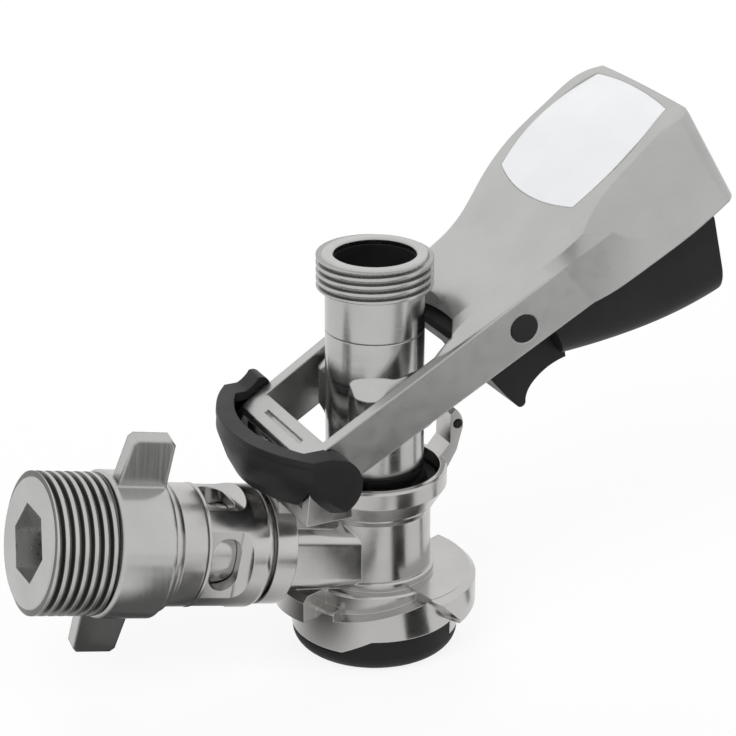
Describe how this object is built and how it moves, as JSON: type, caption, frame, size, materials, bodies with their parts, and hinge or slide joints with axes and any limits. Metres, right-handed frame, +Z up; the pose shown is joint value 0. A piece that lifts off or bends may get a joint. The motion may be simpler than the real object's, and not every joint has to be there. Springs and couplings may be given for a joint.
{
  "type": "keg coupler",
  "caption": "Tap head for a keg neck: a raised grip lever drives a sliding beer probe down through a lugged body with a side gas arm and wing nut.",
  "frame": {"origin": "on the probe axis at the foot of the bottom seal, where the coupler seats in the keg neck", "axes": "+Z up along the probe axis, +X towards the lever's grip, the gas arm towards -X"},
  "size_m": [0.1708, 0.0488, 0.1261],
  "materials": {
    "plated_metal": "satin",
    "steel": "satin",
    "black_plastic": "matte",
    "label": "gloss",
    "rubber": "matte"
  },
  "bodies": {
    "body": {"coupler_body": "plated_metal", "hinge_pin": "steel", "catch_pin": "black_plastic", "bottom_seal": "rubber", "probe_wiper": "rubber", "hinge_guard": "black_plastic", "vent_cage": "plated_metal", "gas_spigot": "plated_metal"},
    "lever": {"lever_handle": "plated_metal", "label_plate": "label", "hinge_bushes": "black_plastic", "trigger_pin": "steel", "trigger_pin_caps": "black_plastic", "under_grip": "black_plastic"},
    "trigger": {"trigger": "black_plastic"},
    "probe": {"outlet_nipple": "plated_metal", "probe_body": "plated_metal", "drive_pins": "steel", "probe_ring": "rubber", "outlet_liner": "black_plastic", "ball_retainer": "black_plastic", "probe_stem": "steel", "probe_tip": "rubber"},
    "ball": {"check_ball": "black_plastic"},
    "swivel": {"wing_nut": "plated_metal", "inlet_stub": "plated_metal", "inlet_washer": "rubber"}
  },
  "joints": [
    {"name": "lever_hinge", "type": "hinge", "parent": "body", "child": "lever", "pos_m": [-0.0215, 0, 0.0525], "axis": [0, 1, 0], "range_deg": [0, 30.6]},
    {"name": "probe_slide", "type": "slide", "parent": "body", "child": "probe", "axis": [0, 0, -1], "range_m": [0, 0.01205]},
    {"name": "trigger_pull", "type": "hinge", "parent": "lever", "child": "trigger", "pos_m": [0.02721, 0, 0.08015], "axis": [0, -1, 0], "range_deg": [0, 12], "stiffness_Nm_per_rad": 0.5, "springref_deg": -11.46},
    {"name": "ball_lift", "type": "slide", "parent": "probe", "child": "ball", "axis": [0, 0, 1], "range_m": [0, 0.004]},
    {"name": "gas_swivel", "type": "hinge", "parent": "body", "child": "swivel", "pos_m": [-0.06148, 0, 0.03704], "axis": [-0.9759, 0, 0.2181], "continuous": true}
  ],
  "couplings": [
    {"joint": "probe_slide", "follows": "lever_hinge", "m_per_rad": 0.022518}
  ]
}
